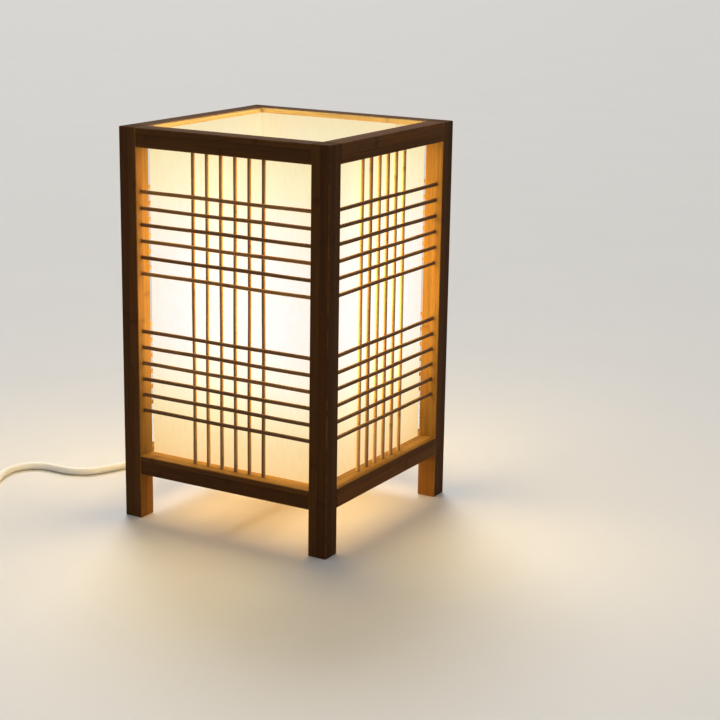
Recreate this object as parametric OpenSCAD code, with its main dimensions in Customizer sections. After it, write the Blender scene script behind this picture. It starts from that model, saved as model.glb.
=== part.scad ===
// Square bamboo table lamp. Four posts and eight rails hold a translucent shade behind a lattice
// of round sticks, and a lamp holder with its bulb stands on a crossbar at the bottom.
// Millimetres, +Z up. The origin is on the surface that the lamp stands on, under its middle.
// The front looks along -Y, and the faces are numbered 0 front, 1 right, 2 back and 3 left.

/* [Frame] */
// Width and depth over the posts
base_w = 180; // [180:1:240]
// Height of the posts
lamp_h = 298; // [270:1:400]
// Side of the square posts, and thickness of the rails
stock_w = 15.2; // [13:0.1:16]
// Height of a rail
rail_h = 14.5; // [14:0.5:22]
// Clear height under the bottom rails
leg_h = 35; // [35:1:40]
// Rounding of the long edges of posts and rails
edge_r = 0.9; // [0.4:0.1:2]
// Bevel round the ends of the posts
end_bevel = 0.6; // [0.2:0.1:1.2]
// Diameter of the hidden dowels between rails and posts
dowel_d = 4; // [3:0.5:5]
// Length of a dowel
dowel_l = 20; // [14:1:30]
// Depth of a dowel in its post
dowel_in_post = 8; // [5:0.5:10]
// Clearance all round a dowel, a stick or a screw in its bore
fit = 0.05; // [0.02:0.01:0.1]

/* [Lattice] */
// Diameter of a stick
stick_d = 3; // [2:0.1:4]
// Distance between neighbouring sticks
stick_pitch = 12.2; // [8:0.1:13]
// Level sticks in the upper group and in the lower group of a face
level_count = 6; // [2:1:6]
// Upright sticks in a face
upright_count = 6; // [2:1:8]
// From the underside of a top rail to the first stick
upper_drop = 33; // [15:1:40]
// From the top of a bottom rail to the lowest stick
lower_rise = 35; // [15:1:40]
// From the outer face of the frame to the middle of a level stick
stick_inset = 6; // [4:0.5:7]
// Depth of a stick's end in its post or rail
stick_seat = 5; // [3:0.5:6]
// Space left at the bottom of a bore
bore_end = 0.3; // [0.1:0.1:1]

/* [Shade] */
// Thickness of the shade's sheet
shade_t = 0.5; // [0.3:0.1:1]
// Radius of the shade's corners
shade_r = 2.5; // [1.5:0.5:10]
// From the top of the frame down to the shade's upper edge
shade_drop = 4; // [2:0.5:8]
// How far the shade reaches down behind a bottom rail
shade_hem = 5; // [3:0.5:6]
// Width of the glued lap where the sheet's ends meet
lap_w = 12; // [6:1:20]

/* [Crossbar] */
// Width of the crossbar under the lamp holder
bar_w = 28; // [26:1:36]
// Thickness of the crossbar
bar_t = 8; // [7:0.5:8.5]
// How far the crossbar is let into a rail
bar_seat = 6; // [4:0.5:7]
// Diameter of a wood screw's shank
screw_d = 3; // [2.5:0.5:3.5]
// Diameter of a wood screw's head
screw_head_d = 6; // [5:0.5:6.5]
// Length of the screws that hold the crossbar
bar_screw_l = 12; // [10:1:12]
// Length of the screws that hold the lamp holder
holder_screw_l = 9; // [7:1:9]

/* [Lamp holder] */
// Outer diameter of the holder's base
holder_d = 42; // [40:1:46]
// Height of the base up to its shoulder
holder_base_h = 18; // [16:0.5:22]
// Wall of the base and thickness of its floor
holder_wall = 2.5; // [2:0.5:3]
// Height of the neck that carries the outer shell
neck_h = 6; // [5:0.5:8]
// Thickness of the ceramic insert's flange
insert_flange_t = 3; // [2.5:0.5:4]
// Height of the outer shell above the insert
shell_h = 26; // [24:1:30]
// Wall of the outer shell at its top
shell_wall = 3; // [2.5:0.5:4]
// Wall of the metal thread sleeve
sleeve_t = 0.5; // [0.4:0.1:0.8]
// Height of the metal thread sleeve
sleeve_h = 22; // [18:1:23]
// Space between the bulb's cap and the thread sleeve
thread_gap = 0.4; // [0.3:0.05:0.6]

/* [Bulb] */
// Largest diameter of the bulb
bulb_d = 60; // [56:1:64]
// Length of the bulb from its contact to its top
bulb_l = 110; // [106:1:114]
// Diameter over the thread of the bulb's cap
cap_d = 26.4; // [26:0.1:26.6]
// Height of the cap with its thread
cap_h = 22; // [20:1:24]
// Wall of the metal cap
cap_t = 0.5; // [0.4:0.1:0.8]
// Height of the collar above the bulb's contact
collar_h = 65; // [62:1:68]
// Wall of the bulb's dome and housing
dome_t = 1.2; // [0.8:0.1:2]

/* [Lead] */
// Diameter of the lead
cord_d = 6; // [5.6:0.1:6.2]
// Radius of the outermost turn of the coil
coil_r = 44; // [40:1:50]
// Turns in each of the coil's two layers
layer_turns = 3; // [2:1:3]
// Space between neighbouring turns
turn_gap = 0.6; // [0.45:0.05:1]
// Space between the two layers
layer_gap = 0.5; // [0.45:0.05:1]
// Thickness of the strap round the coil
tie_t = 0.8; // [0.6:0.1:0.9]
// Width of the strap round the coil
tie_w = 10; // [6:1:14]

/* [Switch] */
// Length of the switch on the lead
switch_l = 58; // [54:1:66]
// Width of the switch
switch_w = 24; // [22:1:30]
// Height of the switch
switch_h = 16; // [16:0.5:18]
// Wall of the switch's two shells
switch_wall = 1.6; // [1.2:0.1:2]
// Length of the rocker
rocker_l = 18.4; // [15:0.2:20]
// Width of the rocker
rocker_w = 10; // [8:0.5:11]
// How far the rocker tips to each side of the middle, in degrees
rocker_tip = 8; // [5:1:9]

/* [Plug] */
// Width of the plug across its pins
plug_w = 35; // [33:1:37]
// Thickness of the plug
plug_t = 13.6; // [13:0.1:14.5]
// Length of the plug's body without its pins
plug_l = 30; // [26:1:36]
// Diameter of a pin
pin_d = 4; // [3.8:0.1:4.2]
// Length of a pin in front of the plug
pin_l = 19; // [17:1:20]
// Distance between the pins' middles
pin_pitch = 18.6; // [17.5:0.1:19]

/* [Hidden] */
half = base_w / 2;
inner = half - stock_w;
top_rail_z = lamp_h - rail_h;
bottom_rail_top = leg_h + rail_h;
dowel_shift = dowel_d / 2 + 1;
upright_inset = stick_inset + stick_d + fit;
upper_first_z = top_rail_z - upper_drop;
lower_first_z = bottom_rail_top + lower_rise;
upper_heights = [for (i = [0:level_count - 1]) upper_first_z - i * stick_pitch];
lower_heights = [for (i = [0:level_count - 1]) lower_first_z + i * stick_pitch];
upright_places = [for (i = [0:upright_count - 1]) (i - (upright_count - 1) / 2) * stick_pitch];
bar_top = leg_h + bar_t;
outlet_z = bar_top + 7.5;
shoulder_z = bar_top + holder_base_h;
insert_z = shoulder_z + neck_h;
sleeve_z = insert_z + insert_flange_t;
neck_r = holder_d / 2 - holder_wall - 0.3;
cavity_r = neck_r - 1.7;
cap_r = cap_d / 2;
sleeve_r = cap_r + thread_gap;
shell_bore_r = sleeve_r + sleeve_t + 0.2;
contact_rise = 3;
bulb_z = sleeve_z + contact_rise + 0.3;
cap_foot_z = bulb_z + 5.7;
cap_top_z = cap_foot_z + cap_h;
collar_z = bulb_z + collar_h;
dome_top_z = bulb_z + bulb_l;
ball_r = bulb_d / 2;
ball_z = dome_top_z - ball_r;
collar_r = sqrt(ball_r * ball_r - (ball_z - collar_z) * (ball_z - collar_z));
relief_start_x = -holder_d / 2 - 3;
relief_l = 20;
relief_wall = 2.4;
relief_tip_wall = 0.8;
outlet_bore_r = cord_d / 2 + 1.5;
outlet_boss_r = cord_d / 2 + 3.5;
cord_r = cord_d / 2;
cord_sides = 8;
switch_at = [-291, -147];
port_z = 8;
port_r = cord_r + 0.1;
switch_r = 8;
switch_bevel_h = 3.5;
switch_screw_x = switch_l / 2 - 12;
pivot_z = switch_h - switch_bevel_h;
pivot_r = 1.2;
pin_seat = 8;
plug_z = plug_t / 2 + 0.1;
coil_at = [-316, -90];
coil_low_z = 4;
coil_high_z = coil_low_z + cord_d + layer_gap;
coil_step = cord_d + turn_gap;
coil_turns = 2 * layer_turns;
coil_rings = 24;
plug_back_y = -28;
plug_neck_l = 18;

coil_x = coil_at[0] - coil_r;

// The lead falls from the holder's outlet, lies along the surface and rises into the switch
lead_fall = [
    [-22, 0, outlet_z], [-33, 0, outlet_z], [-44, 0, outlet_z], [-51, 0, outlet_z - 0.5],
    [-58, 2, outlet_z - 3], [-64.5, 6, outlet_z - 7.5], [-70, 10, 36.5], [-75, 14, 29],
    [-81, 17.5, 21], [-89, 21, 13.5], [-99, 24, 7.5], [-111, 26, 4]
];
lead_on_floor = [
    [-124, 26], [-139, 22], [-151, 13], [-160, 0], [-166, -15], [-174, -29], [-187, -37], [-201, -38],
    [-214, -39], [-225, -46], [-231, -59], [-229, -74], [-223, -88], [-218, -103], [-218, -119]
];
lead_rise = [
    [-225, -133, 4], [-238, -143, 6], [-253, -147, port_z], [-262, -147, port_z], [-268, -147, port_z]
];
lead_route = concat(lead_fall, [for (p = lead_on_floor) [p[0], p[1], cord_r]], lead_rise);
// From the switch round to the coil
link_route = [
    [-314, -147, port_z], [-320, -147, port_z], [-329, -147, port_z], [-344, -142, 5.5], [-355, -131, 4],
    [coil_x, -116, coil_low_z], [coil_x, -104, coil_low_z], [coil_x, coil_at[1] - cord_d, coil_low_z]
];
// From the coil's upper layer down to the plug
tail_route = [
    [coil_x, coil_at[1] + cord_d, coil_high_z], [coil_x, -76, coil_high_z], [coil_x, -66, 9.2],
    [coil_x, -55, plug_z], [coil_x, -46, plug_z]
];

// A rectangle with rounded corners about the origin, as points
function rounded(w, h, r, steps = 4) = [
    for (k = [0:3], i = [0:steps])
        let (a = 90 * k + 90 * i / steps, x = k == 0 || k == 3 ? 1 : -1, y = k < 2 ? 1 : -1)
        [x * (w / 2 - r) + r * cos(a), y * (h / 2 - r) + r * sin(a)]
];

// A square bar that lies along X with its middle at x = 0
module level_bar(l, w, h) {
    rotate([90, 0, 90])
        translate([0, 0, -l / 2])
            linear_extrude(l)
                polygon(rounded(w, h, edge_r));
}

// A round rod along X, with its middle at x = 0
module rod(d, l) {
    rotate([0, 90, 0])
        cylinder(d = d, h = l, center = true, $fn = 24);
}

// One bore along X into a post, from the face at x = inner; side is 1 at the right, -1 at the left
module side_bore(side, depth, z, d, l) {
    translate([side * (inner + l / 2 - 0.5), -half + depth, z])
        rod(d + 2 * fit, l + 1);
}

// All the bores that the front face's sticks and dowels need at one of their ends
module end_bores(side) {
    for (z = concat(upper_heights, lower_heights))
        side_bore(side, stick_inset, z, stick_d, stick_seat);
    for (z = [top_rail_z, leg_h])
        side_bore(side, stock_w / 2, z + rail_h / 2 + side * dowel_shift, dowel_d, dowel_in_post);
}

// A post upright about Z, with its ends bevelled all round
module plain_post() {
    difference() {
        linear_extrude(lamp_h)
            polygon(rounded(stock_w, stock_w, edge_r));
        for (z = [0, lamp_h], a = [0:90:270])
            rotate([0, 0, a])
                translate([stock_w / 2, 0, z])
                    rotate([0, 45, 0])
                        cube([end_bevel * sqrt(2), stock_w + 2, end_bevel * sqrt(2)], center = true);
    }
}

module post(face) {
    color("saddlebrown")
        rotate([0, 0, 90 * face])
            difference() {
                translate([inner + stock_w / 2, -inner - stock_w / 2, 0])
                    plain_post();
                end_bores(1);
                rotate([0, 0, 90])
                    end_bores(-1);
            }
}

// A rail of the front face with its underside at z; side is 1 if the uprights enter from above
module rail(z, side) {
    difference() {
        translate([0, -half + stock_w / 2, z + rail_h / 2])
            level_bar(2 * inner, stock_w, rail_h);
        for (end = [-1, 1])
            translate([end * inner, -half + stock_w / 2, z + rail_h / 2 + end * dowel_shift])
                rod(dowel_d + 2 * fit, 2 * (dowel_l - dowel_in_post));
        for (x = upright_places)
            translate([x, -half + upright_inset, z + rail_h / 2 + side * rail_h / 2])
                cylinder(d = stick_d + 2 * fit, h = 2 * stick_seat, center = true, $fn = 24);
    }
}

module top_rail(face) {
    color("saddlebrown")
        rotate([0, 0, 90 * face])
            rail(top_rail_z, -1);
}

// The front and back bottom rails are cut out from below for the crossbar's ends
module bottom_rail(face) {
    color("saddlebrown")
        rotate([0, 0, 90 * face])
            difference() {
                rail(leg_h, 1);
                if (face % 2 == 0) {
                    translate([-bar_w / 2 - fit, -inner - bar_seat, leg_h - 1])
                        cube([bar_w + 2 * fit, bar_seat + 1, bar_t + fit + 1]);
                    translate([0, -bar_screw_y(), leg_h])
                        cylinder(d = screw_d + 2 * fit, h = bar_screw_l + bore_end, $fn = 24);
                }
            }
}

// Each rail has a dowel at both ends; the two that meet in a post pass each other in height
module frame_dowels() {
    in_rail = dowel_l - dowel_in_post;
    color("burlywood")
        for (face = [0:3], z = [top_rail_z, leg_h], end = [-1, 1])
            rotate([0, 0, 90 * face])
                translate([
                    end * (inner + (dowel_in_post - in_rail) / 2),
                    -half + stock_w / 2,
                    z + rail_h / 2 + end * dowel_shift
                ])
                    rod(dowel_d, dowel_l - 2 * bore_end);
}

module level_sticks(face, heights) {
    color("peru")
        rotate([0, 0, 90 * face])
            for (z = heights)
                translate([0, -half + stick_inset, z])
                    rod(stick_d, 2 * (inner + stick_seat - bore_end));
}

module upright_sticks(face) {
    foot = bottom_rail_top - stick_seat + bore_end;
    head = top_rail_z + stick_seat - bore_end;
    color("peru")
        rotate([0, 0, 90 * face])
            for (x = upright_places)
                translate([x, -half + upright_inset, foot])
                    cylinder(d = stick_d, h = head - foot, $fn = 24);
}

// One sheet bent round four corners, glued to the rails' inner faces, with its lap at the back
module paper_shade() {
    foot = bottom_rail_top - shade_hem;
    inside_w = 2 * (inner - shade_t);
    color("cornsilk")
        translate([0, 0, foot])
            linear_extrude(lamp_h - shade_drop - foot)
                union() {
                    difference() {
                        polygon(rounded(2 * inner, 2 * inner, shade_r, 8));
                        polygon(rounded(inside_w, inside_w, shade_r - shade_t, 8));
                    }
                    translate([inner - shade_r - 2 * lap_w, inner - 2 * shade_t])
                        square([lap_w, 1.5 * shade_t]);
                }
}

function bar_screw_y() = inner + bar_seat / 2;
function holder_screw_y() = cavity_r - screw_head_d / 2 - 1;

// A countersunk wood screw with its head at z = 0, pointing up
module wood_screw(l) {
    head_h = (screw_head_d - screw_d) / 2;
    difference() {
        union() {
            cylinder(d1 = screw_head_d, d2 = screw_d, h = head_h, $fn = 32);
            cylinder(d = screw_d, h = l, $fn = 32);
        }
        for (a = [0, 90])
            rotate([0, 0, a])
                cube([screw_head_d * 0.6, 0.8, 1.6], center = true);
    }
}

// The way for such a screw through the first piece
module screw_way(l) {
    head_h = (screw_head_d - screw_d) / 2;
    translate([0, 0, -0.01])
        cylinder(d1 = screw_head_d + 2 * fit, d2 = screw_d + 2 * fit, h = head_h + fit, $fn = 32);
    cylinder(d = screw_d + 2 * fit, h = l, $fn = 32);
}

module crossbar() {
    color("burlywood")
        difference() {
            translate([0, 0, leg_h + bar_t / 2])
                rotate([0, 0, 90])
                    level_bar(2 * (inner + bar_seat - fit), bar_w, bar_t);
            for (side = [-1, 1]) {
                translate([0, side * bar_screw_y(), leg_h])
                    screw_way(bar_t + 1);
                translate([0, side * holder_screw_y(), bar_top + holder_wall - holder_screw_l - bore_end])
                    cylinder(d = screw_d + 2 * fit, h = holder_screw_l, $fn = 32);
            }
        }
}

module crossbar_screws() {
    color("silver")
        for (side = [-1, 1])
            translate([0, side * bar_screw_y(), leg_h])
                wood_screw(bar_screw_l);
}

// A cup with a neck for the outer shell and a boss at the left for the lead
module holder_base() {
    outer_r = holder_d / 2;
    color("ivory")
        difference() {
            union() {
                translate([0, 0, bar_top])
                    rotate_extrude($fn = 64)
                        polygon([
                            [0, 0], [outer_r - 1, 0], [outer_r, 1], [outer_r, holder_base_h - 1],
                            [outer_r - 1, holder_base_h], [neck_r, holder_base_h],
                            [neck_r, holder_base_h + neck_h], [0, holder_base_h + neck_h]
                        ]);
                translate([relief_start_x, 0, outlet_z])
                    rotate([0, 90, 0])
                        cylinder(r = outlet_boss_r, h = 8, $fn = 32);
            }
            translate([0, 0, bar_top + holder_wall])
                cylinder(r = cavity_r, h = holder_base_h + neck_h, $fn = 64);
            translate([relief_start_x - 1, 0, outlet_z])
                rotate([0, 90, 0])
                    cylinder(r = outlet_bore_r, h = 12, $fn = 32);
            for (side = [-1, 1])
                translate([0, side * holder_screw_y(), bar_top + holder_wall])
                    rotate([180, 0, 0])
                        screw_way(holder_wall + 1);
        }
}

module holder_screws() {
    color("silver")
        for (side = [-1, 1])
            translate([0, side * holder_screw_y(), bar_top + holder_wall])
                rotate([180, 0, 0])
                    wood_screw(holder_screw_l - bore_end);
}

// A ceramic disc that closes the base and carries the contact and the thread sleeve
module holder_insert() {
    color("whitesmoke")
        difference() {
            translate([0, 0, insert_z])
                union() {
                    cylinder(r = neck_r - fit, h = insert_flange_t, $fn = 64);
                    translate([0, 0, -neck_h])
                        cylinder(r = cavity_r - fit, h = neck_h + 1, $fn = 64);
                }
            for (side = [-1, 1])
                translate([side * 8, 0, insert_z - neck_h - 1])
                    cylinder(d = 4, h = neck_h, $fn = 32);
        }
}

// A brass strip, folded back so that its tongue springs up against the bulb's tip
module holder_contact() {
    strip_t = 0.6;
    strip_w = 6;
    color("goldenrod")
        translate([0, strip_w / 2, sleeve_z])
            rotate([90, 0, 0])
                linear_extrude(strip_w)
                    polygon([
                        [-6, 0], [3, 0], [5, contact_rise - strip_t], [5, contact_rise],
                        [-4, contact_rise], [-4, contact_rise - strip_t], [4.2, contact_rise - strip_t],
                        [2.4, strip_t], [-6, strip_t]
                    ]);
}

// The drawn metal sleeve that holds the bulb's thread, open at both ends
module holder_sleeve() {
    color("goldenrod")
        translate([0, 0, sleeve_z])
            rotate_extrude($fn = 64)
                polygon([
                    [sleeve_r - 4, 0], [sleeve_r + sleeve_t, 0], [sleeve_r + sleeve_t, sleeve_h],
                    [sleeve_r, sleeve_h], [sleeve_r, sleeve_t], [sleeve_r - 4, sleeve_t]
                ]);
}

// The outer shell screws over the neck and presses on the insert's flange
module holder_shell() {
    skirt_r = holder_d / 2 - 0.5;
    ledge_z = sleeve_z - shoulder_z;
    top_z = ledge_z + shell_h;
    outer_r = shell_bore_r + shell_wall;
    color("ivory")
        translate([0, 0, shoulder_z])
            difference() {
                rotate_extrude($fn = 64)
                    polygon([
                        [neck_r + fit, fit], [skirt_r, fit], [skirt_r, ledge_z],
                        [outer_r, ledge_z + 4], [outer_r, top_z - 1], [outer_r - 1, top_z],
                        [shell_bore_r, top_z], [shell_bore_r, ledge_z], [neck_r + fit, ledge_z]
                    ]);
                for (a = [0:20:340])
                    rotate([0, 0, a])
                        translate([skirt_r + 0.6, 0, -1])
                            cylinder(r = 1.2, h = ledge_z + 6, $fn = 16);
            }
}

module bulb_tip() {
    color("silver")
        translate([0, 0, bulb_z])
            cylinder(r1 = 3.6, r2 = 4.8, h = 1, $fn = 48);
}

module bulb_insulator() {
    color("black")
        translate([0, 0, bulb_z + 1])
            cylinder(r1 = 5.2, r2 = cap_r - 2.6, h = 4.7, $fn = 64);
}

module bulb_cap() {
    color("silver")
        translate([0, 0, cap_foot_z])
            rotate_extrude($fn = 64)
                polygon([
                    [0, 0], [cap_r - 2.6, 0], [cap_r, 2.2], [cap_r, cap_h], [cap_r - cap_t, cap_h],
                    [cap_r - cap_t, 2.6], [cap_r - 3, 0.6], [0, 0.6]
                ]);
}

// Height and radius of the housing's outside, from the cap to the collar
function flare(i, n) = let (u = i / n)
    [cap_r + (collar_r - cap_r) * sin(90 * u) * u, cap_top_z + 0.6 + (collar_z - cap_top_z - 0.6) * u];

module bulb_housing() {
    steps = 10;
    outside = [for (i = [0:steps]) flare(i, steps)];
    inside = [for (i = [steps:-1:0]) flare(i, steps) - [2 * dome_t, i == 0 ? 8 : 0]];
    plug_r = cap_r - cap_t - fit;
    color("white")
        rotate_extrude($fn = 64)
            polygon(concat(
                [[plug_r, cap_top_z - 7], [plug_r, cap_top_z + 0.6]], outside, inside
            ));
}

module led_board() {
    color("lightgrey")
        translate([0, 0, collar_z - 2])
            cylinder(r = collar_r - 2 * dome_t - 1, h = 1.5, $fn = 64);
}

// A ball that meets the housing at its collar
module bulb_dome() {
    low = -asin((ball_z - collar_z) / ball_r);
    steps = 16;
    function ring(i, r) = let (a = low + (90 - low) * i / steps) [r * cos(a), ball_z + r * sin(a)];
    color("floralwhite")
        rotate_extrude($fn = 64)
            polygon(concat(
                [for (i = [0:steps - 1]) ring(i, ball_r)], [[0, dome_top_z]],
                [[0, dome_top_z - dome_t]], [for (i = [steps - 1:-1:0]) ring(i, ball_r - dome_t)]
            ));
}

// A moulded sleeve that tapers along the lead, with grooves so that it bends
module cord_relief() {
    outer_r = cord_r + relief_wall;
    root_r = outlet_bore_r - fit;
    root_l = 4;
    collar_l = 4;
    groove = 0.6;
    ribs = 5;
    rib_l = (relief_l - collar_l) / ribs;
    slope = (relief_wall - relief_tip_wall) / (relief_l - collar_l);
    bore_r = cord_r + fit;
    color("white")
        translate([relief_start_x, 0, outlet_z])
            rotate([0, -90, 0])
                rotate_extrude($fn = 48)
                    polygon(concat(
                        [[bore_r, -root_l], [root_r, -root_l], [root_r, 0], [outer_r, 0]],
                        [[outer_r, collar_l]],
                        [for (i = [0:ribs - 1], p = [[0.5, groove], [0.5, 0], [1, 0]])
                            let (along = rib_l * (i + p[0]))
                            [outer_r - slope * along - p[1], collar_l + along]],
                        [[bore_r, relief_l]]
                    ));
}

function unit(v) = v / norm(v);

// Direction of a line of points at point i
function heading(line, i) =
    unit(line[min(i + 1, len(line) - 1)] - line[max(i - 1, 0)]);

// The ring of a tube round point i of its line
function ring(line, i, r, sides) =
    let (t = heading(line, i), side = unit(cross([0, 0, 1], t)), up = cross(t, side))
    [for (k = [0:sides - 1]) line[i] + r * (cos(360 * k / sides) * side + sin(360 * k / sides) * up)];

// A round tube along a line of points, as one closed skin of triangles
module tube(line, r, sides) {
    rings = len(line);
    skin = [for (i = [0:rings - 1]) each ring(line, i, r, sides)];
    sleeve = [
        for (i = [0:rings - 2], k = [0:sides - 1])
            let (a = i * sides + k, b = i * sides + (k + 1) % sides)
            each [[a, a + sides, b], [b, a + sides, b + sides]]
    ];
    first = [for (k = [1:sides - 2]) [0, k, k + 1]];
    base = (rings - 1) * sides;
    last = [for (k = [1:sides - 2]) [base, base + k + 1, base + k]];
    polyhedron(skin, concat(sleeve, first, last));
}

module cord_lead() {
    color("gainsboro")
        tube(lead_route, cord_r, cord_sides);
}

module cord_link() {
    color("gainsboro")
        tube(link_route, cord_r, cord_sides);
}

module cord_tail() {
    color("gainsboro")
        tube(tail_route, cord_r, cord_sides);
}

// The coil winds in at a steady rate on the lower layer, climbs in the half turn where it
// reverses, and winds out again on the upper layer
function coil_radius(t) = coil_r - coil_step * min(t, coil_turns - t);
function climb(t) =
    let (u = min(1, max(0, 2 * (t - layer_turns) + 0.5)))
    coil_low_z + (coil_high_z - coil_low_z) * u * u * (3 - 2 * u);
function coil_point(t) =
    [coil_at[0] - coil_radius(t) * cos(360 * t), coil_at[1] + coil_radius(t) * sin(360 * t), climb(t)];
coil_start = coil_point(0);
coil_end = coil_point(coil_turns);
coil_line = concat(
    [coil_start - [0, cord_d, 0]],
    [for (i = [0:coil_turns * coil_rings]) coil_point(i / coil_rings)],
    [coil_end + [0, cord_d, 0]]
);
coil_gaps = [
    for (i = [0:len(coil_line) - 1], j = [i + coil_rings / 2:1:len(coil_line) - 1])
        norm(coil_line[i] - coil_line[j]) - cord_d
];
echo(least_gap_in_the_coil = min(coil_gaps));

module cord_coil() {
    color("gainsboro")
        tube(coil_line, cord_r, 6);
}

// A strap round both layers at the coil's right side
module coil_tie() {
    bulge = tie_w * tie_w / (4 * coil_r);
    inside_w = (layer_turns - 1) * coil_step + cord_d + 2 * bulge;
    inside_h = coil_high_z - coil_low_z + cord_d + 0.2;
    middle_r = coil_r - coil_step * layer_turns / 2 - bulge / 2;
    middle_z = (coil_low_z + coil_high_z) / 2;
    color("dimgray")
        translate([coil_at[0] + middle_r, coil_at[1] + tie_w / 2, middle_z])
            rotate([90, 0, 0])
                linear_extrude(tie_w)
                    difference() {
                        polygon(rounded(inside_w + 2 * tie_t, inside_h + 2 * tie_t, 2));
                        polygon(rounded(inside_w, inside_h, 1.2));
                    }
}

// A plate with the switch's outline, smaller all round by s
module switch_plate(s, h = 0.01) {
    linear_extrude(h)
        polygon(rounded(switch_l - 2 * s, switch_w - 2 * s, switch_r - s, 8));
}

// The way of the lead through the ends of both shells
module lead_port() {
    translate([0, 0, port_z])
        rod(2 * port_r, switch_l + 2);
}

module switch_base() {
    color("white")
        translate([switch_at[0], switch_at[1], 0])
            difference() {
                union() {
                    difference() {
                        hull() {
                            switch_plate(1.5);
                            translate([0, 0, 2])
                                switch_plate(0);
                            translate([0, 0, port_z - 0.01])
                                switch_plate(0);
                        }
                        translate([0, 0, switch_wall])
                            switch_plate(switch_wall, switch_h);
                    }
                    for (end = [-1, 1])
                        translate([end * switch_screw_x, 0, 0.5])
                            cylinder(d = 5.4, h = 2.5, $fn = 32);
                }
                lead_port();
                for (end = [-1, 1])
                    translate([end * switch_screw_x, 0, -1])
                        cylinder(d = 2 + 2 * fit, h = 6, $fn = 32);
            }
}

module switch_cover() {
    color("white")
        translate([switch_at[0], switch_at[1], 0])
            difference() {
                union() {
                    difference() {
                        hull() {
                            translate([0, 0, port_z])
                                switch_plate(0);
                            translate([0, 0, switch_h - switch_bevel_h])
                                switch_plate(0);
                            translate([0, 0, switch_h - 0.01])
                                switch_plate(3);
                        }
                        translate([0, 0, port_z - 1])
                            switch_plate(switch_wall + 1.5, switch_h - port_z + 1 - switch_wall);
                    }
                    for (side = [-1, 1])
                        translate([0, side * (rocker_w / 2 + 1.6), (pivot_z + switch_h) / 2 - 1.6])
                            cube([6, 2.2, switch_h - pivot_z + 1], center = true);
                }
                translate([0, 0, switch_h])
                    cube([rocker_l + 2.4, rocker_w + 0.8, 8], center = true);
                translate([0, 0, pivot_z])
                    rotate([90, 0, 0])
                        cylinder(r = pivot_r + fit, h = rocker_w + 5.6, center = true, $fn = 32);
                lead_port();
            }
}

// A rocker with a hollowed top, tipped to its rest position
module switch_rocker() {
    top = switch_h - pivot_z;
    color("white")
        translate([switch_at[0], switch_at[1], pivot_z])
            rotate([0, rocker_tip, 0])
                union() {
                    rotate([90, 0, 0])
                        linear_extrude(rocker_w, center = true)
                            polygon([
                                [-rocker_l / 2, top + 1.3], [0, top], [rocker_l / 2, top + 1.3],
                                [rocker_l / 2, 1], [3, -1.8], [-3, -1.8], [-rocker_l / 2, 1]
                            ]);
                    rotate([90, 0, 0])
                        cylinder(r = pivot_r, h = rocker_w + 4.8, center = true, $fn = 32);
                }
}

module switch_contacts() {
    color("goldenrod")
        for (end = [-1, 1])
            translate([switch_at[0] + end * 9, switch_at[1], switch_wall])
                translate([-3, -2.5, 0])
                    cube([6, 5, 3]);
}

module switch_screws() {
    color("silver")
        for (end = [-1, 1])
            translate([switch_at[0] + end * switch_screw_x, switch_at[1], 0.2])
                cylinder(d = 2, h = 4.6, $fn = 24);
}

// The flat two-pin plug lies beside the coil with its pins away from it
module plug_body() {
    color("white")
        translate([coil_x, plug_back_y, plug_z])
            rotate([-90, 0, 0])
                difference() {
                    union() {
                        hull() {
                            linear_extrude(1)
                                polygon(rounded(cord_d + 8, plug_t - 2, 4));
                            translate([0, 0, plug_l * 0.55])
                                linear_extrude(1)
                                    polygon(rounded(plug_w - 3, plug_t, 5));
                            translate([0, 0, plug_l - 1])
                                linear_extrude(1)
                                    polygon(rounded(plug_w, plug_t, 5));
                        }
                        translate([0, 0, -plug_neck_l])
                            cylinder(
                                r1 = cord_r + relief_tip_wall, r2 = cord_r + relief_wall,
                                h = plug_neck_l + 1, $fn = 32
                            );
                    }
                    for (side = [-1, 1])
                        translate([side * pin_pitch / 2, 0, plug_l - pin_seat])
                            cylinder(d = pin_d + 2 * fit, h = pin_seat + 1, $fn = 32);
                }
}

module plug_pins() {
    color("silver")
        translate([coil_x, plug_back_y + plug_l, plug_z])
            rotate([-90, 0, 0])
                for (side = [-1, 1])
                    translate([side * pin_pitch / 2, 0, 0]) {
                        translate([0, 0, bore_end - pin_seat])
                            cylinder(d = pin_d, h = pin_seat - bore_end + pin_l - 1, $fn = 32);
                        translate([0, 0, pin_l - 1])
                            cylinder(d1 = pin_d, d2 = pin_d - 2, h = 1, $fn = 32);
                    }
}

post(0);  // post_front_right
post(1);  // post_back_right
post(2);  // post_back_left
post(3);  // post_front_left
top_rail(0);  // top_rail_front
top_rail(1);  // top_rail_right
top_rail(2);  // top_rail_back
top_rail(3);  // top_rail_left
bottom_rail(0);  // bottom_rail_front
bottom_rail(1);  // bottom_rail_right
bottom_rail(2);  // bottom_rail_back
bottom_rail(3);  // bottom_rail_left
frame_dowels();
level_sticks(0, upper_heights);  // front_upper_sticks
level_sticks(0, lower_heights);  // front_lower_sticks
upright_sticks(0);  // front_upright_sticks
level_sticks(1, upper_heights);  // right_upper_sticks
level_sticks(1, lower_heights);  // right_lower_sticks
upright_sticks(1);  // right_upright_sticks
level_sticks(2, upper_heights);  // back_upper_sticks
level_sticks(2, lower_heights);  // back_lower_sticks
upright_sticks(2);  // back_upright_sticks
level_sticks(3, upper_heights);  // left_upper_sticks
level_sticks(3, lower_heights);  // left_lower_sticks
upright_sticks(3);  // left_upright_sticks
paper_shade();
crossbar();
crossbar_screws();
holder_base();
holder_screws();
holder_insert();
holder_contact();
holder_sleeve();
holder_shell();
bulb_tip();
bulb_insulator();
bulb_cap();
bulb_housing();
led_board();
bulb_dome();
cord_relief();
cord_lead();
cord_link();
cord_coil();
coil_tie();
cord_tail();
switch_base();
switch_cover();
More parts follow.
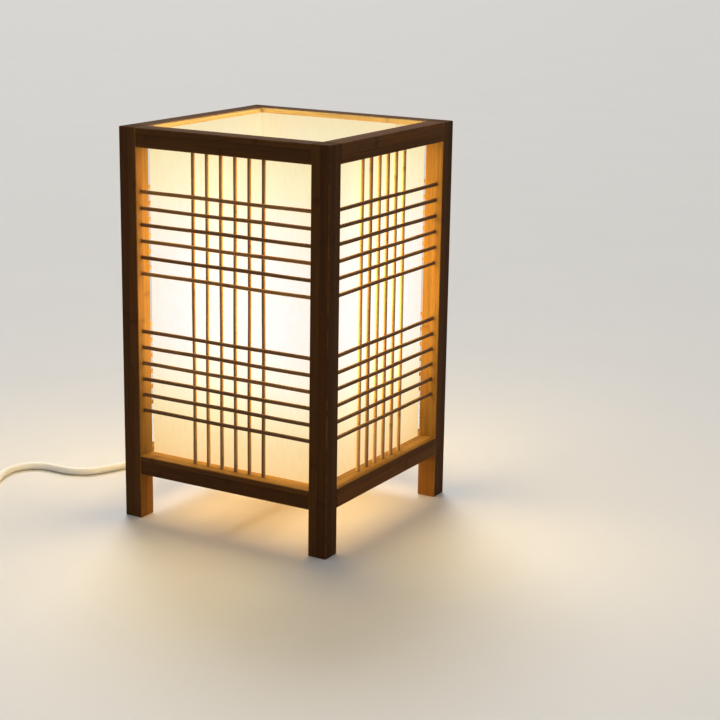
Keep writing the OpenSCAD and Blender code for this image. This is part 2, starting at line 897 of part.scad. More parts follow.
switch_rocker();
switch_contacts();
switch_screws();
plug_body();
plug_pins();
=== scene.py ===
import math

import bpy
from mathutils import Matrix, Vector


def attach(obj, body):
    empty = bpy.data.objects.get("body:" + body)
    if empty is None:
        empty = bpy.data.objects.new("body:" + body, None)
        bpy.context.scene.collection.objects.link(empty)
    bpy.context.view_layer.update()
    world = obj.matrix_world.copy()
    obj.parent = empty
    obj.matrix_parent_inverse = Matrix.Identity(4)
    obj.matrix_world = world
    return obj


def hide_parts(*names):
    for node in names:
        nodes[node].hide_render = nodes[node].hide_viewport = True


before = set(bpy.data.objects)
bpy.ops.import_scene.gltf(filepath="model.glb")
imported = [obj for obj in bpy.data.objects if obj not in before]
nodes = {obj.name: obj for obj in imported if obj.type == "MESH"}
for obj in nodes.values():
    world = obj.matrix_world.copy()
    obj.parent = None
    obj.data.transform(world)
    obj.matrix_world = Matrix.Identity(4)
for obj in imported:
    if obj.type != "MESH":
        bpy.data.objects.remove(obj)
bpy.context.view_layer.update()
scene = bpy.context.scene

MM = 0.001

# The frame, the lattice in it and the sheet behind that
BASE_W = 180 * MM
STOCK_W = 15.2 * MM
LAYER_T = STOCK_W / 2
INNER = BASE_W / 2 - STOCK_W
TOP_RAIL_Z = 283.5 * MM
BOTTOM_RAIL_TOP = 49.5 * MM
RAIL_H = 14.5 * MM

STICK_R = 1.5 * MM
PITCH = 12.2 * MM
STICKS = 6
STICK_END = 4.7 * MM
UPPER_FIRST_Z = TOP_RAIL_Z - 33 * MM
LOWER_FIRST_Z = BOTTOM_RAIL_TOP + 35 * MM
LEVEL_Y = -BASE_W / 2 + 6 * MM
UPRIGHT_Y = LEVEL_Y + 2 * STICK_R + 0.05 * MM

SHEET_T = 0.5 * MM
SHEET_CORNER_R = 2.5 * MM
SHEET_FOOT = BOTTOM_RAIL_TOP - 5 * MM
SHEET_HEAD = 294 * MM
LAP_W = 12 * MM
LAP_X = INNER - SHEET_CORNER_R - 1.5 * LAP_W

# The holder's thread and the bulb
SLEEVE_Z = 70 * MM
SLEEVE_R = 13.6 * MM
SLEEVE_H = 22 * MM
CAP_R = 13.2 * MM
CAP_FOOT_Z = 79 * MM
CAP_H = 22 * MM
COLLAR_Z = 138.3 * MM
COLLAR_R = 25.98 * MM
BALL_R = 30 * MM
BALL_Z = 153.3 * MM
THREAD_PITCH = 3.63 * MM

# The lead. Its places and sizes below are in mm, and so are its routes further down
CORD_D = 6 * MM
SWITCH_PIVOT = (-291, -147, 12.5)
ROCKER_TIP = 8
COIL_AT = (-316, -90)
COIL_R = 44
COIL_STEP = 6.6
COIL_LOW_Z = 4
COIL_RISE = 6.5
PLUG_X = -360
PLUG_BACK_Y = -28
PLUG_FRONT_Y = 2
PLUG_Z = 6.9
PIN_PITCH = 18.6

# The camera, found from the lamp's edges in the photo
CAMERA_LENS = 87.5528
CAMERA_PLACE = (0.705283, -1.098555, 0.454575)
CAMERA_TURN = (75.48604, -0.86365, 30.51772)

# The room's light on all things, and its wall's brightness where that is seen
ROOM_LIGHT = 0.48
WALL_SEEN = 0.64
ROOM_COLOUR = (1, 0.985, 0.96)


def place_camera():
    data = bpy.data.cameras.new("camera")
    data.lens = CAMERA_LENS
    data.sensor_width = 36
    data.clip_end = 100
    camera = bpy.data.objects.new("camera", data)
    camera.location = CAMERA_PLACE
    camera.rotation_euler = [math.radians(angle) for angle in CAMERA_TURN]
    scene.collection.objects.link(camera)
    scene.camera = camera


def add_sun(azimuth, elevation, strength, spread):
    """A sun that shines from that compass side; azimuth 0 is +X and 90 is +Y."""
    data = bpy.data.lights.new("key", "SUN")
    data.energy = strength
    data.angle = math.radians(spread)
    sun = bpy.data.objects.new("key", data)
    a, e = math.radians(azimuth), math.radians(elevation)
    towards = Vector((math.cos(e) * math.cos(a), math.cos(e) * math.sin(a), math.sin(e)))
    sun.rotation_euler = towards.to_track_quat("Z", "Y").to_euler()
    scene.collection.objects.link(sun)


def light_the_room():
    world = bpy.data.worlds.new("room")
    scene.world = world
    world.use_nodes = True
    tree = world.node_tree
    background = tree.nodes["Background"]
    background.inputs["Color"].default_value = (*ROOM_COLOUR, 1)
    path = tree.nodes.new("ShaderNodeLightPath")
    seen = maths(tree, "MAXIMUM", path.outputs["Is Camera Ray"], path.outputs["Is Glossy Ray"])
    seen = maths(tree, "MAXIMUM", seen, path.outputs["Is Transmission Ray"])
    join(tree, maths(tree, "MULTIPLY_ADD", seen, WALL_SEEN - ROOM_LIGHT, ROOM_LIGHT),
         background.inputs["Strength"])
    add_sun(azimuth=128, elevation=48, strength=1.65, spread=24)
    scene.view_settings.view_transform = "Standard"


# Shader helpers

def join(tree, source, target):
    tree.links.new(source, target)


def set_or_join(tree, socket, value):
    if isinstance(value, (int, float)):
        socket.default_value = value
    elif isinstance(value, tuple):
        socket.default_value = (*value, 1) if len(socket.default_value) == 4 else value
    else:
        join(tree, value, socket)


def maths(tree, operation, *values):
    made = tree.nodes.new("ShaderNodeMath")
    made.operation = operation
    for socket, value in zip(made.inputs, values):
        set_or_join(tree, socket, value)
    return made.outputs[0]


def vector_maths(tree, operation, *values):
    made = tree.nodes.new("ShaderNodeVectorMath")
    made.operation = operation
    for socket, value in zip(made.inputs, values):
        set_or_join(tree, socket, value)
    return made.outputs["Vector"]


def mix_colours(tree, factor, first, second, blend="MIX"):
    made = tree.nodes.new("ShaderNodeMix")
    made.data_type = "RGBA"
    made.blend_type = blend
    # Its sockets 0, 6 and 7 are the factor and the colours, and 2 is the mixed colour
    for number, value in ((0, factor), (6, first), (7, second)):
        set_or_join(tree, made.inputs[number], value)
    return made.outputs[2]


def tinted(tree, colour, tint, factor=1.0):
    """The colour, multiplied by a tint as far as the factor says."""
    return mix_colours(tree, factor, colour, mix_colours(tree, 1.0, colour, tint, "MULTIPLY"))


def noise(tree, vector, scale, detail=2.0, rough=0.5):
    made = tree.nodes.new("ShaderNodeTexNoise")
    set_or_join(tree, made.inputs["Scale"], scale)
    made.inputs["Detail"].default_value = detail
    made.inputs["Roughness"].default_value = rough
    join(tree, vector, made.inputs["Vector"])
    return made.outputs["Fac"]


def ramp(tree, value, *stops):
    made = tree.nodes.new("ShaderNodeValToRGB")
    elements = made.color_ramp.elements
    while len(elements) < len(stops):
        elements.new(0.5)
    for element, (place, colour) in zip(elements, stops):
        element.position = place
        grey = isinstance(colour, (int, float))
        element.color = (colour, colour, colour, 1) if grey else (*colour, 1)
    join(tree, value, made.inputs[0])
    return made.outputs[0]


def stretched(tree, vector, scale, turn=(0, 0, 0)):
    made = tree.nodes.new("ShaderNodeMapping")
    made.inputs["Scale"].default_value = scale
    made.inputs["Rotation"].default_value = turn
    join(tree, vector, made.inputs["Vector"])
    return made.outputs[0]


def parts_of(tree, vector):
    made = tree.nodes.new("ShaderNodeSeparateXYZ")
    join(tree, vector, made.inputs[0])
    return made.outputs


def as_vector(tree, *values):
    made = tree.nodes.new("ShaderNodeCombineXYZ")
    for socket, value in zip(made.inputs, values):
        set_or_join(tree, socket, value)
    return made.outputs[0]


def new_group(name, inputs, outputs):
    """A shader node group, its inner ends of the inputs and of the outputs."""
    group = bpy.data.node_groups.new(name, "ShaderNodeTree")
    kinds = {"vector": "NodeSocketVector", "value": "NodeSocketFloat", "colour": "NodeSocketColor"}
    for side, sockets in (("INPUT", inputs), ("OUTPUT", outputs)):
        for socket, kind in sockets:
            group.interface.new_socket(name=socket, in_out=side, socket_type=kinds[kind])
    given = group.nodes.new("NodeGroupInput").outputs
    return group, given, group.nodes.new("NodeGroupOutput").inputs


def use_group(tree, group, **values):
    made = tree.nodes.new("ShaderNodeGroup")
    made.node_tree = group
    for key, value in values.items():
        set_or_join(tree, made.inputs[key], value)
    return made.outputs


def new_material(name, colour, rough, metal=0.0, coat=0.0, shine=0.5):
    material = bpy.data.materials.new(name)
    material.use_nodes = True
    tree = material.node_tree
    shader = tree.nodes["Principled BSDF"]
    shader.inputs["Base Color"].default_value = (*colour, 1)
    shader.inputs["Roughness"].default_value = rough
    shader.inputs["Metallic"].default_value = metal
    shader.inputs["Coat Weight"].default_value = coat
    shader.inputs["Coat Roughness"].default_value = 0.25
    shader.inputs["Specular IOR Level"].default_value = shine
    return material, tree, shader


def object_place(tree):
    return tree.nodes.new("ShaderNodeTexCoord").outputs["Object"]


def add_bump(tree, shader, height, depth):
    bump = tree.nodes.new("ShaderNodeBump")
    bump.inputs["Distance"].default_value = depth
    join(tree, height, bump.inputs["Height"])
    join(tree, bump.outputs[0], shader.inputs["Normal"])


def apply_look(tree, shader, colour, rough, height, depth):
    join(tree, colour, shader.inputs["Base Color"])
    join(tree, rough, shader.inputs["Roughness"])
    add_bump(tree, shader, height, depth)


# Effects that several materials share

LOOK = [("Color", "colour"), ("Roughness", "value"), ("Height", "value")]

# Picks the tones of the strips
STRIP_SEED = 7898.0
RAILS_MIDDLE = (TOP_RAIL_Z + BOTTOM_RAIL_TOP) / 2
KNOT_PITCH = 0.19


def glued_strips(group, given, x, y):
    """Strips side by side across X, in layers inwards from the lamp's outer faces: a random colour
    and tone for each strip, and 1 on the glue lines between them."""
    across = maths(group, "DIVIDE", x, given["Strip"])
    across = maths(group, "MULTIPLY_ADD", maths(group, "SIGN", x), given["Shift"], across)
    # The faces lie just inside their layers, never on a boundary
    layers = maths(group, "MULTIPLY_ADD", maths(group, "ABSOLUTE", y), -0.99 / LAYER_T,
                   0.01 + 0.99 * BASE_W / 2 / LAYER_T)
    side = maths(group, "ADD", maths(group, "SIGN", y), STRIP_SEED)
    number = as_vector(group, maths(group, "FLOOR", across), maths(group, "FLOOR", layers), side)
    strip = group.nodes.new("ShaderNodeTexWhiteNoise")
    join(group, number, strip.inputs["Vector"])
    lines = []
    for step, width in ((across, 0.045), (layers, 0.03)):
        off = maths(group, "ABSOLUTE", maths(group, "SUBTRACT", maths(group, "FRACT", step), 0.5))
        lines.append(ramp(group, off, (0.5 - width, 0.0), (0.5, 1.0)))
    return strip.outputs["Color"], strip.outputs["Value"], maths(group, "MAXIMUM", *lines)


def sawn_end(group, given, place, seam):
    """The colour of a sawn end: vessel dots between the glue lines."""
    dots = group.nodes.new("ShaderNodeTexVoronoi")
    dots.inputs["Scale"].default_value = 1500
    join(group, stretched(group, place, (1, 1, 0.05)), dots.inputs["Vector"])
    vessel = ramp(group, dots.outputs["Distance"], (0.16, 0.8), (0.34, 0.0))
    colour = mix_colours(group, 0.3, given["Dark"], given["Light"])
    colour = mix_colours(group, vessel, colour, given["Line"])
    return mix_colours(group, seam, colour, given["Line"])


def knots_across(group, z, tone, streak):
    """1 on a fine line across each strip here and there, each strip at places of its own."""
    along = maths(group, "DIVIDE", z, KNOT_PITCH)
    along = maths(group, "ADD", along, maths(group, "MULTIPLY", tone, 3.7))
    wobble = maths(group, "MULTIPLY", maths(group, "SUBTRACT", streak, 0.5), 0.02)
    knot = maths(group, "FRACT", maths(group, "ADD", along, wobble))
    return ramp(group, knot, (0.0, 0.0), (0.475, 0.0), (0.496, 0.55), (0.502, 1.0),
                (0.51, 0.15), (0.56, 0.0))


def make_bamboo_grain():
    """Laminated bamboo with its fibres along Z: strips in different tones, fine fibre lines,
    reddish patches, a knot across each strip here and there, and vessel dots on sawn ends."""
    group, given, out = new_group(
        "bamboo grain",
        [("Place", "vector"), ("Facing", "vector"), ("Strip", "value"), ("Shift", "value"),
         ("Light", "colour"), ("Dark", "colour"), ("Line", "colour")],
        LOOK,
    )
    place = given["Place"]
    x, y, z = parts_of(group, place)
    any_colour, tone, seam = glued_strips(group, given, x, y)
    faint_seam = maths(group, "MULTIPLY", seam, 0.5)

    # Each strip shows another part of the same grain
    shifted = vector_maths(group, "MULTIPLY_ADD", any_colour, (0.4, 0.4, 0.4), place)

    def drawn_out(along, scale, detail, rough):
        return noise(group, stretched(group, shifted, (1, 1, along)), scale, detail, rough)

    fibre = drawn_out(0.012, 2600, 3, 0.65)
    streak = drawn_out(0.02, 520, 3, 0.6)
    band = drawn_out(0.05, 130, 2, 0.5)
    cloud = drawn_out(0.3, 30, 2, 0.5)

    knot_line = knots_across(group, z, tone, streak)

    lightness = maths(group, "MULTIPLY", tone, 0.8)
    for part, share in ((streak, 0.7), (band, 0.55), (cloud, 0.3)):
        lightness = maths(group, "MULTIPLY_ADD", part, share, lightness)
    lightness = maths(group, "SUBTRACT", lightness, 0.73)
    colour = mix_colours(group, lightness, given["Dark"], given["Light"])
    red = ramp(group, cloud, (0.55, 0.0), (0.72, 0.55))
    colour = tinted(group, colour, (1.12, 0.82, 0.66), red)
    lines = ramp(group, fibre, (0.3, 0.8), (0.46, 0.0))
    for mask in (lines, maths(group, "MULTIPLY", knot_line, 0.5), faint_seam):
        colour = mix_colours(group, mask, colour, given["Line"])

    facing_up = parts_of(group, given["Facing"])[2]
    is_end = maths(group, "GREATER_THAN", maths(group, "ABSOLUTE", facing_up), 0.8)
    end_colour = sawn_end(group, given, place, faint_seam)
    join(group, mix_colours(group, is_end, colour, end_colour), out["Color"])
    rough = maths(group, "MULTIPLY_ADD", streak, 0.16, 0.66)
    join(group, maths(group, "MULTIPLY_ADD", is_end, 0.1, rough), out["Roughness"])
    height = maths(group, "MULTIPLY_ADD", seam, -0.8, fibre)
    join(group, maths(group, "MULTIPLY_ADD", knot_line, -0.6, height), out["Height"])
    return group


def make_moulded_skin():
    """The faint unevenness of moulded plastic or glaze: a soft waviness and a few duller spots."""
    group, given, out = new_group(
        "moulded skin",
        [("Place", "vector"), ("Color", "colour"), ("Shade", "colour"), ("Grain", "value"),
         ("Gloss", "value")],
        LOOK,
    )
    broad = noise(group, given["Place"], 55)
    spots = ramp(group, broad, (0.35, 0.5), (0.7, 0.0))
    join(group, mix_colours(group, spots, given["Color"], given["Shade"]), out["Color"])
    join(group, maths(group, "MULTIPLY_ADD", broad, 0.1, given["Gloss"]), out["Roughness"])
    join(group, noise(group, given["Place"], given["Grain"], 3), out["Height"])
    return group


def make_drawn_metal():
    """Sheet or rolled metal with faint draw lines and duller patches."""
    group, given, out = new_group(
        "drawn metal",
        [("Place", "vector"), ("Stretch", "vector"), ("Color", "colour"), ("Rough", "value")],
        LOOK,
    )
    patches = noise(group, given["Place"], 160, 3, 0.6)
    dull = ramp(group, patches, (0.45, 0.0), (0.75, 0.7))
    join(group, tinted(group, given["Color"], (0.72, 0.72, 0.72), dull), out["Color"])
    join(group, maths(group, "MULTIPLY_ADD", patches, 0.25, given["Rough"]), out["Roughness"])
    lines = noise(group, vector_maths(group, "MULTIPLY", given["Place"], given["Stretch"]), 1800)
    join(group, lines, out["Height"])
    return group


def make_worn_edges():
    """Lighter patches along the long edges of the posts and rails. Along is 1 on a bar's axis."""
    group, given, out = new_group(
        "worn edges",
        [("Place", "vector"), ("Along", "vector"), ("Color", "colour"), ("Worn", "colour")],
        [("Color", "colour")],
    )
    # Where the bars mirror, how far from there their middle is, and half their thickness
    mirror = (0.0, 0.0, RAILS_MIDDLE)
    across = (BASE_W - STOCK_W) / 2
    middle = (across, across, (TOP_RAIL_Z - BOTTOM_RAIL_TOP + RAIL_H) / 2)
    half = (STOCK_W / 2, STOCK_W / 2, RAIL_H / 2)
    off = vector_maths(group, "SUBTRACT", given["Place"], mirror)
    off = vector_maths(group, "SUBTRACT", vector_maths(group, "ABSOLUTE", off), middle)
    off = vector_maths(group, "DIVIDE", vector_maths(group, "ABSOLUTE", off), half)
    worn = ramp(group, noise(group, given["Place"], 70, 4, 0.7), (0.42, 0.0), (0.6, 1.0))
    for side, along in zip(parts_of(group, off), parts_of(group, given["Along"])):
        edge = maths(group, "MAXIMUM", ramp(group, side, (0.84, 0.0), (0.93, 1.0)), along)
        worn = maths(group, "MULTIPLY", worn, edge)
    worn = maths(group, "MULTIPLY", worn, 0.3)
    join(group, mix_colours(group, worn, given["Color"], given["Worn"]), out["Color"])
    return group


def make_painted_glow_tint():
    """Painted light: a tint that brightens surfaces that look inwards, towards the lit sheet, and
    the bottom rails' upper faces: one tint for the most, one below the bottom rails and one along
    the top rails' upper edges. Begin and End are on a scale from 0, straight outwards, to 1,
    straight inwards."""
    group, given, out = new_group(
        "painted glow tint",
        [("Place", "vector"), ("Facing", "vector"), ("Begin", "value"), ("End", "value"),
         ("Color", "colour"), ("Stain", "colour"), ("Foot", "colour"), ("Top", "colour")],
        [("Color", "colour")],
    )
    places, facings = (parts_of(group, given[name]) for name in ("Place", "Facing"))
    looks = []
    for place, facing in zip(places[:2], facings[:2]):
        # -1 or 1 near a face of the lamp, 0 near its middle
        side = maths(group, "ROUND", maths(group, "DIVIDE", place, BASE_W / 2))
        looks.append(maths(group, "MULTIPLY", side, facing))
    inwards = maths(group, "MULTIPLY", maths(group, "MINIMUM", *looks), -1.0)
    low = maths(group, "LESS_THAN", places[2], RAILS_MIDDLE)
    look = maths(group, "MAXIMUM", inwards, maths(group, "MULTIPLY", facings[2], low))
    look = maths(group, "MULTIPLY_ADD", look, 0.5, 0.5)
    # A mix keeps its factor between 0 and 1
    inside = maths(group, "DIVIDE", maths(group, "SUBTRACT", look, given["Begin"]),
                   maths(group, "SUBTRACT", given["End"], given["Begin"]))
    # Painted light: the legs' inner faces below the bottom rails and a band along the top rails'
    # upper inner edges get tints of their own
    top_z = TOP_RAIL_Z + RAIL_H
    foot = ramp(group, places[2], (BOTTOM_RAIL_TOP - RAIL_H, 1.0), (BOTTOM_RAIL_TOP, 0.0))
    top = ramp(group, places[2], (top_z - 6 * MM, 0.0), (top_z - 3 * MM, 1.0))
    tint = mix_colours(group, foot, given["Stain"], given["Foot"])
    tint = mix_colours(group, top, tint, given["Top"])
    join(group, tinted(group, given["Color"], tint, inside), out["Color"])
    return group


BAMBOO_GRAIN = make_bamboo_grain()
MOULDED_SKIN = make_moulded_skin()
DRAWN_METAL = make_drawn_metal()
WORN_EDGES = make_worn_edges()
PAINTED_GLOW_TINT = make_painted_glow_tint()

# The way of each axis, and how the grain is turned to lie along it
WAYS = {"X": (1.0, 0.0, 0.0), "Y": (0.0, 1.0, 0.0), "Z": (0.0, 0.0, 1.0)}
GRAIN_TURNS = {"X": (0, -math.pi / 2, 0), "Y": (math.pi / 2, 0, 0), "Z": (0, 0, 0)}


def bamboo(name, axis, tones, strip=STOCK_W / 3, shift=0.0, depth=0.00012, worn=False, painted_glow=(),
           turned=(0.65, 0.85), shine=0.07):
    """Bamboo along an axis. The tones are its light and dark strips and its lines. The glow tints,
    if
    given, are painted light: they brighten its surfaces that look inwards, as if lit by the glowing
    sheet, and begin and end where turned says."""
    light, dark, line = tones
    material, tree, shader = new_material(name, light, 0.5, shine=shine)
    texture = tree.nodes.new("ShaderNodeTexCoord").outputs
    place, facing = (stretched(tree, texture[kind], (1, 1, 1), GRAIN_TURNS[axis])
                     for kind in ("Object", "Normal"))
    out = use_group(tree, BAMBOO_GRAIN, Place=place, Facing=facing, Strip=strip, Shift=shift,
                    Light=light, Dark=dark, Line=line)
    colour = out["Color"]
    # Painted light: the faces that look inwards are brightened as if lit by the glowing sheet
    if painted_glow:
        inward_glow, foot, top = painted_glow
        begin, end = turned
        colour = use_group(tree, PAINTED_GLOW_TINT, Place=texture["Object"], Facing=texture["Normal"],
                           Begin=begin, End=end, Color=colour, Stain=inward_glow, Foot=foot,
                           Top=top)["Color"]
    if worn:
        colour = use_group(tree, WORN_EDGES, Place=texture["Object"], Along=WAYS[axis],
                           Color=colour, Worn=tuple(1.5 * c for c in light))["Color"]
    apply_look(tree, shader, colour, out["Roughness"], out["Height"], depth)
    return material


def moulded(name, colour, shade, gloss=0.3, grain=900, depth=0.00004, coat=0.0):
    material, tree, shader = new_material(name, colour, gloss, coat=coat)
    out = use_group(tree, MOULDED_SKIN, Place=object_place(tree), Color=colour, Shade=shade,
                    Grain=grain, Gloss=gloss)
    apply_look(tree, shader, out["Color"], out["Roughness"], out["Height"], depth)
    return material


def drawn_metal(name, colour, rough, stretch):
    material, tree, shader = new_material(name, colour, rough, metal=1.0)
    out = use_group(tree, DRAWN_METAL, Place=object_place(tree), Stretch=stretch, Color=colour,
                    Rough=rough - 0.12)
    apply_look(tree, shader, out["Color"], out["Roughness"], out["Height"], 0.00003)
    return material


# The shade's paper and the bulb's dome glow: the camera meets their own colours, and all else is
# lit by the lamp's warm light

SHADE_LIGHT = (9.5, 7.0, 2.9)
INNER_LIGHT = (12.5, 11.0, 7.0)
DOME_LIGHT = (12.0, 5.4, 1.4)
DOME_H = 45 * MM
PAPER_BASE = (0.3, 0.26, 0.19)
PAPER_THREADS = (0.26, 0.21, 0.14)
# Painted shade: the inner face of the same sheet gets a near-black base, so that the bulb's light
# on it doesn't wash out its glow
PAPER_INSIDE_SHADED = (0.03, 0.025, 0.017)


def glow(tree, shader, seen_colour, light):
    seen = tree.nodes.new("ShaderNodeLightPath").outputs["Is Camera Ray"]
    join(tree, mix_colours(tree, seen, light, seen_colour), shader.inputs["Emission Color"])
    shader.inputs["Emission Strength"].default_value = 1.0


def lit_paper_colour(tree, x, y, height):
    """The sheet as it is seen, without threads: by height, warmer towards its corners and lap."""
    warm = ramp(
        tree, height,
        (0.16, (0.83, 0.57, 0.26)), (0.24, (0.85, 0.65, 0.34)), (0.31, (0.86, 0.8, 0.52)),
        (0.39, (0.86, 0.87, 0.76)), (0.48, (0.86, 0.88, 0.9)), (0.68, (0.86, 0.88, 0.9)),
        (0.78, (0.86, 0.88, 0.76)), (0.86, (0.85, 0.83, 0.57)), (0.97, (0.83, 0.74, 0.43)),
    )
    # One of x and y crosses the face, so the smaller is the way from the face's middle
    from_middle = maths(tree, "MINIMUM", maths(tree, "ABSOLUTE", x), maths(tree, "ABSOLUTE", y))
    edge = ramp(tree, maths(tree, "DIVIDE", from_middle, INNER), (0.45, 0.0), (1.0, 0.55))
    warm = tinted(tree, warm, (0.97, 0.86, 0.7), edge)
    # The lap at the back is two sheets thick
    off = maths(tree, "ABSOLUTE", maths(tree, "SUBTRACT", x, LAP_X))
    lap = maths(tree, "MULTIPLY", maths(tree, "LESS_THAN", off, LAP_W / 2),
                maths(tree, "GREATER_THAN", y, 0.9 * INNER))
    return tinted(tree, warm, (0.93, 0.84, 0.72), lap)


def light_from_paper(tree, height, inside):
    """Less light leaves the sheet near its foot, and the least its inner face, up to the bulb."""
    outer_fade = ramp(tree, height, (0.145, 0.5), (0.2, 0.24), (0.28, 0.42), (0.45, 1.0),
                      (0.75, 1.0), (0.97, 0.6))
    inner_fade = ramp(tree, height, (0.15, (0.17, 0.108, 0.05)), (0.45, (0.14, 0.1, 0.06)),
                      (0.75, (0.3, 0.26, 0.22)), (0.88, (1.0, 1.0, 1.0)))
    outer = mix_colours(tree, outer_fade, (0.0, 0.0, 0.0), SHADE_LIGHT)
    inner = mix_colours(tree, 1.0, inner_fade, INNER_LIGHT, "MULTIPLY")
    return mix_colours(tree, inside, outer, inner)


def shade_paper():
    """Translucent paper lit from behind: nearly white opposite the bulb, cream above it and peach
    at the bottom, with faint long fibres in the sheet."""
    material, tree, shader = new_material("shade paper", PAPER_BASE, 0.85, shine=0.1)
    texture = tree.nodes.new("ShaderNodeTexCoord")
    place = texture.outputs["Object"]
    x, y, z = parts_of(tree, place)
    cloud = noise(tree, stretched(tree, place, (1, 1, 0.6)), 38, 3, 0.55)
    drift = maths(tree, "MULTIPLY", maths(tree, "SUBTRACT", cloud, 0.5), 0.012)
    # From 0 on the table to 1 a little above the lamp
    height = maths(tree, "DIVIDE", maths(tree, "ADD", z, drift), 0.3)
    facing = parts_of(tree, texture.outputs["Normal"])
    outwards = maths(tree, "MULTIPLY_ADD", y, facing[1], maths(tree, "MULTIPLY", x, facing[0]))
    inside = maths(tree, "LESS_THAN", outwards, -0.01)

    threads = noise(tree, stretched(tree, place, (1, 1, 0.12), (0.25, 0.35, 0.15)), 900, 4, 0.7)
    threads = ramp(tree, threads, (0.36, 1.0), (0.52, 0.0))
    seen = mix_colours(tree, maths(tree, "MULTIPLY", threads, 0.09),
                       lit_paper_colour(tree, x, y, height), (0.55, 0.36, 0.15))
    seen = tinted(tree, seen, (0.95, 0.92, 1.0), inside)
    glow(tree, shader, seen, light_from_paper(tree, height, inside))
    base = mix_colours(tree, threads, PAPER_BASE, PAPER_THREADS)
    # Painted shade: the inner face gets the near-black base
    base = mix_colours(tree, inside, base, PAPER_INSIDE_SHADED)
    join(tree, base, shader.inputs["Base Color"])
    add_bump(tree, shader, threads, 0.00005)
    return material


def lit_dome():
    material, tree, shader = new_material("bulb dome, lit", (0.06, 0.055, 0.05), 0.6, shine=0.2)
    z = parts_of(tree, object_place(tree))[2]
    up = maths(tree, "DIVIDE", maths(tree, "SUBTRACT", z, COLLAR_Z), DOME_H)
    seen = ramp(tree, up, (0.0, (0.86, 0.5, 0.2)), (0.35, (0.93, 0.7, 0.36)),
                (0.7, (0.95, 0.86, 0.6)), (1.0, (0.95, 0.91, 0.76)))
    glow(tree, shader, seen, DOME_LIGHT)
    return material


# The bamboo's tones are its light and dark strips and its lines
LINE = (0.021, 0.0075, 0.002)
FRAME_TONES = ((0.155, 0.064, 0.014), (0.056, 0.02, 0.0045), LINE)
LEVEL_TONES = ((0.2, 0.088, 0.02), (0.085, 0.033, 0.007), LINE)
UPRIGHT_TONES = ((0.24, 0.105, 0.023), (0.105, 0.042, 0.009), LINE)
PALE_TONES = ((0.56, 0.38, 0.2), (0.44, 0.28, 0.13), (0.3, 0.17, 0.07))

# Painted light: tints that brighten the inward faces as if lit by the sheet and bulb, for the most,
# below the bottom rails and along the upper edge
FRAME_GLOW_TINTS = ((2.3, 2.8, 2.5), (3.9, 4.1, 2.7), (2.6, 4.4, 7.5))
LEVEL_GLOW_TINTS = ((1.25, 1.4, 1.9),) * 3
UPRIGHT_GLOW_TINTS = ((2.6, 3.7, 7.0),) * 3

# Two strips across a post, a hair wider than it, so that no face lies on a boundary
POST_STRIP = 1.004 * STOCK_W / 2
POST_SHIFT = -(BASE_W - STOCK_W) / 2 / POST_STRIP % 1

RAIL_ALONG_X = bamboo("bamboo, front and back rails", "X", FRAME_TONES, painted_glow=FRAME_GLOW_TINTS,
                      worn=True)
RAIL_ALONG_Y = bamboo("bamboo, side rails", "Y", FRAME_TONES, painted_glow=FRAME_GLOW_TINTS, worn=True)
POST = bamboo("bamboo, posts", "Z", FRAME_TONES, painted_glow=FRAME_GLOW_TINTS, strip=POST_STRIP,
              shift=POST_SHIFT, worn=True)
STICK = {
    axis: bamboo("bamboo stick along " + axis, axis, tones, painted_glow=painted_glow, strip=PITCH,
                 depth=0.00006, turned=(0.34, 0.56), shine=0.3)
    for axis, tones, painted_glow in (
        ("X", LEVEL_TONES, LEVEL_GLOW_TINTS), ("Y", LEVEL_TONES, LEVEL_GLOW_TINTS),
        ("Z", UPRIGHT_TONES, UPRIGHT_GLOW_TINTS),
    )
}
CROSSBAR_WOOD = bamboo("pale crossbar wood", "Y", PALE_TONES, strip=14 * MM)
DOWEL_WOOD = bamboo("pale dowel wood", "X", PALE_TONES, strip=20 * MM)
PAPER = shade_paper()
DOME = lit_dome()
CREAM = moulded("cream plastic", (0.84, 0.8, 0.72), (0.76, 0.71, 0.62), gloss=0.28)
WHITE = moulded("white plastic", (0.8, 0.79, 0.76), (0.73, 0.715, 0.68), gloss=0.26)
GREY_MARK = moulded("grey mark", (0.3, 0.3, 0.31), (0.26, 0.26, 0.27), gloss=0.5)
CERAMIC = moulded("glazed ceramic", (0.86, 0.85, 0.82), (0.8, 0.785, 0.75), gloss=0.12, coat=0.4)
BRASS = drawn_metal("brass sheet", (0.78, 0.56, 0.24), 0.28, (1, 1, 0.1))
STEEL = drawn_metal("plated steel", (0.62, 0.62, 0.63), 0.3, (1, 1, 0.3))
NICKEL = drawn_metal("nickel pins", (0.72, 0.69, 0.62), 0.22, (1, 0.1, 1))
ALUMINIUM = drawn_metal("rolled aluminium", (0.78, 0.78, 0.79), 0.25, (0.2, 0.2, 1))
BLACK_GLASS = moulded("black glass", (0.02, 0.02, 0.022), (0.035, 0.033, 0.03), gloss=0.1,
                      coat=0.3)
HOUSING = moulded("white bulb housing", (0.85, 0.85, 0.84), (0.8, 0.79, 0.77), gloss=0.42)
BOARD = moulded("white board", (0.8, 0.8, 0.78), (0.7, 0.7, 0.66), gloss=0.4)
STRAP = moulded("dark strap", (0.05, 0.05, 0.055), (0.09, 0.09, 0.09), gloss=0.75, grain=3500,
                depth=0.0002)
SHEATH = moulded("lead sheath", (0.78, 0.76, 0.71), (0.7, 0.67, 0.6), gloss=0.34, grain=500,
                 depth=0.00005)


# Modelling helpers

def deselect():
    bpy.ops.object.select_all(action="DESELECT")


def edit():
    bpy.ops.object.mode_set(mode="EDIT")
    bpy.ops.mesh.select_mode(type="VERT")
    bpy.ops.mesh.select_all(action="SELECT")


def finish_edit():
    bpy.ops.object.mode_set(mode="OBJECT")


def apply_place():
    bpy.ops.object.transform_apply(location=True, rotation=True, scale=True)


def bevel_edges(offset, segments):
    bpy.ops.mesh.bevel(offset=offset, segments=segments, affect="EDGES")


